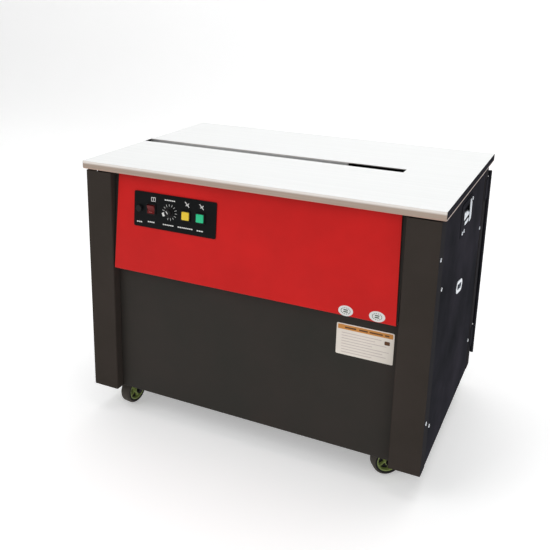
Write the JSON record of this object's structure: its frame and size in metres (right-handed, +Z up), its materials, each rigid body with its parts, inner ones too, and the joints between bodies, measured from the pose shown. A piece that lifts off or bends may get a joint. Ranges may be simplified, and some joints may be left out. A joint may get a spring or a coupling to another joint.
{
  "type": "semi automatic strapping machine",
  "caption": "Table-top strapping machine: steel cabinet on swivel casters, hinged table with a strap slot, control plate, strap entry and a cam-driven strapping head.",
  "frame": {"origin": "on the floor, under the middle of the table", "axes": "+X along the strap slot to the operator's right, +Y towards the rear door, +Z up"},
  "size_m": [0.9, 0.6102, 0.69],
  "materials": {
    "dark_paint": "powder-coated, satin",
    "panel_paint": "powder-coated, satin",
    "side_paint": "glossy powder coat",
    "red_paint": "satin enamel",
    "table_steel": "brushed sheet",
    "groove_steel": "brushed sheet",
    "zinc": "zinc-plated",
    "black_oxide": "black oxide",
    "frame_steel": "satin",
    "motor_paint": "satin enamel",
    "gearbox_metal": "cast, painted grey",
    "pulley_metal": "turned",
    "black_plastic": "fine texture",
    "plate_black": "printed overlay",
    "red_plastic": "translucent",
    "yellow_plastic": "glossy",
    "green_plastic": "glossy",
    "rubber": "black",
    "tread": "grey brown rubber",
    "hub_green": "moulded nylon"
  },
  "bodies": {
    "cabinet": {"front_posts": "dark_paint", "rear_posts": "dark_paint", "frame_rails": "frame_steel", "base_plate": "frame_steel", "caster_plates": "black_oxide", "caster_bolts": "black_oxide", "left_side_panel": "side_paint", "right_side_panel": "side_paint", "upper_front_panel": "red_paint", "lower_front_panel": "panel_paint", "control_plate": "plate_black", "control_bezels": "black_plastic", "fuse_holder": "black_plastic", "table_bumpers": "rubber", "hinge_leaves": "side_paint", "entry_bracket": "side_paint", "inlet_eyelet": "zinc", "strap_chute": "zinc", "panel_screws": "zinc", "cord_bushing": "black_plastic", "head_deck": "black_oxide", "head_cheeks": "black_oxide", "press_guide": "black_oxide", "gearbox_housing": "gearbox_metal", "motor_housing": "motor_paint", "motor_bracket": "frame_steel", "drive_belt": "rubber", "control_box": "frame_steel"},
    "table_lid": {"table_top": "table_steel", "strap_channel": "groove_steel", "table_stiffeners": "frame_steel", "lid_hinge_brackets": "zinc"},
    "door": {"rear_door": "side_paint"},
    "latch": {"door_latch": "zinc"},
    "rocker": {"power_rocker": "red_plastic"},
    "dial": {"feed_dial": "black_plastic"},
    "yellow_push": {"yellow_button": "yellow_plastic"},
    "green_push": {"green_button": "green_plastic"},
    "entry_roll": {"entry_roller": "zinc"},
    "press_left": {"left_press": "black_oxide"},
    "press_cutter": {"cutter_press": "black_oxide"},
    "press_right": {"right_press": "black_oxide"},
    "anvil_slide": {"slide_plate": "black_oxide"},
    "heater": {"heater_blade": "groove_steel"},
    "cams": {"camshaft": "pulley_metal"},
    "feed": {"feed_roller": "rubber"},
    "gearbox_input": {"gearbox_pulley": "pulley_metal"},
    "motor_rotor": {"motor_pulley": "pulley_metal"},
    "swivel_front_left": {"caster_fork_front_left": "black_oxide"},
    "wheel_front_left": {"caster_hub_front_left": "hub_green", "caster_tyre_front_left": "tread"},
    "swivel_front_right": {"caster_fork_front_right": "black_oxide"},
    "wheel_front_right": {"caster_hub_front_right": "hub_green", "caster_tyre_front_right": "tread"},
    "swivel_rear_left": {"caster_fork_rear_left": "black_oxide"},
    "wheel_rear_left": {"caster_hub_rear_left": "hub_green", "caster_tyre_rear_left": "tread"},
    "swivel_rear_right": {"caster_fork_rear_right": "black_oxide"},
    "wheel_rear_right": {"caster_hub_rear_right": "hub_green", "caster_tyre_rear_right": "tread"}
  },
  "joints": [
    {"name": "lid_hinge", "type": "hinge", "parent": "cabinet", "child": "table_lid", "pos_m": [0, 0.292, 0.664], "axis": [-1, 0, 0], "range_deg": [0, 75]},
    {"name": "door_hinge", "type": "hinge", "parent": "cabinet", "child": "door", "pos_m": [0.4455, 0.294, 0.38], "axis": [0, 0, -1], "range_deg": [0, 110]},
    {"name": "latch_turn", "type": "hinge", "parent": "door", "child": "latch", "pos_m": [-0.365, 0.3, 0.375], "axis": [0, 1, 0], "range_deg": [0, 90]},
    {"name": "rocker_tip", "type": "hinge", "parent": "cabinet", "child": "rocker", "pos_m": [-0.257, -0.28859, 0.58839], "axis": [-1, 0, 0], "range_deg": [0, 18]},
    {"name": "dial_turn", "type": "hinge", "parent": "cabinet", "child": "dial", "pos_m": [-0.2055, -0.2922, 0.58716], "axis": [0, -0.9971, 0.0764], "range_deg": [-150, 150]},
    {"name": "yellow_press", "type": "slide", "parent": "cabinet", "child": "yellow_push", "axis": [0, 0.9971, -0.0764], "range_m": [0, 0.004], "stiffness_N_per_m": 400},
    {"name": "green_press", "type": "slide", "parent": "cabinet", "child": "green_push", "axis": [0, 0.9971, -0.0764], "range_m": [0, 0.004], "stiffness_N_per_m": 400},
    {"name": "entry_roller_spin", "type": "hinge", "parent": "cabinet", "child": "entry_roll", "pos_m": [0.434, -0.015, 0.6], "axis": [0, 1, 0], "continuous": true},
    {"name": "left_press_lift", "type": "slide", "parent": "cabinet", "child": "press_left", "axis": [0, 0, 1], "range_m": [0, 0.006]},
    {"name": "cutter_press_lift", "type": "slide", "parent": "cabinet", "child": "press_cutter", "axis": [0, 0, 1], "range_m": [0, 0.006]},
    {"name": "right_press_lift", "type": "slide", "parent": "cabinet", "child": "press_right", "axis": [0, 0, 1], "range_m": [0, 0.006]},
    {"name": "slide_plate_retract", "type": "slide", "parent": "cabinet", "child": "anvil_slide", "axis": [0, 1, 0], "range_m": [0, 0.03]},
    {"name": "heater_retract", "type": "slide", "parent": "cabinet", "child": "heater", "axis": [0, 1, 0], "range_m": [0, 0.012]},
    {"name": "gearbox_spin", "type": "hinge", "parent": "cabinet", "child": "gearbox_input", "pos_m": [0.044, -0.01, 0.59], "axis": [1, 0, 0], "continuous": true},
    {"name": "motor_spin", "type": "hinge", "parent": "cabinet", "child": "motor_rotor", "pos_m": [0.044, -0.01, 0.42], "axis": [1, 0, 0], "continuous": true},
    {"name": "camshaft_spin", "type": "hinge", "parent": "cabinet", "child": "cams", "pos_m": [0.215, -0.01, 0.59], "axis": [1, 0, 0], "continuous": true},
    {"name": "feed_roller_spin", "type": "hinge", "parent": "cabinet", "child": "feed", "pos_m": [0.322, -0.01, 0.626], "axis": [0, 1, 0], "continuous": true},
    {"name": "swivel_front_left_turn", "type": "hinge", "parent": "cabinet", "child": "swivel_front_left", "pos_m": [-0.3666, -0.197, 0.082], "axis": [0, 0, 1], "continuous": true},
    {"name": "wheel_front_left_roll", "type": "hinge", "parent": "swivel_front_left", "child": "wheel_front_left", "pos_m": [-0.37026, -0.22678, 0.0375], "axis": [0.9925, -0.1219, 0], "continuous": true},
    {"name": "swivel_front_right_turn", "type": "hinge", "parent": "cabinet", "child": "swivel_front_right", "pos_m": [0.3666, -0.197, 0.082], "axis": [0, 0, 1], "continuous": true},
    {"name": "wheel_front_right_roll", "type": "hinge", "parent": "swivel_front_right", "child": "wheel_front_right", "pos_m": [0.34296, -0.21547, 0.0375], "axis": [0.6157, -0.788, 0], "continuous": true},
    {"name": "swivel_rear_left_turn", "type": "hinge", "parent": "cabinet", "child": "swivel_rear_left", "pos_m": [-0.3666, 0.18, 0.082], "axis": [0, 0, 1], "continuous": true},
    {"name": "wheel_rear_left_roll", "type": "hinge", "parent": "swivel_rear_left", "child": "wheel_rear_left", "pos_m": [-0.37284, 0.20934, 0.0375], "axis": [0.9781, 0.2079, 0], "continuous": true},
    {"name": "swivel_rear_right_turn", "type": "hinge", "parent": "cabinet", "child": "swivel_rear_right", "pos_m": [0.3666, 0.18, 0.082], "axis": [0, 0, 1], "continuous": true},
    {"name": "wheel_rear_right_roll", "type": "hinge", "parent": "swivel_rear_right", "child": "wheel_rear_right", "pos_m": [0.37686, 0.20819, 0.0375], "axis": [0.9397, -0.342, 0], "continuous": true}
  ],
  "couplings": [
    {"joint": "motor_spin", "follows": "gearbox_spin", "ratio": 2.1159},
    {"joint": "camshaft_spin", "follows": "gearbox_spin", "ratio": 0.05}
  ]
}
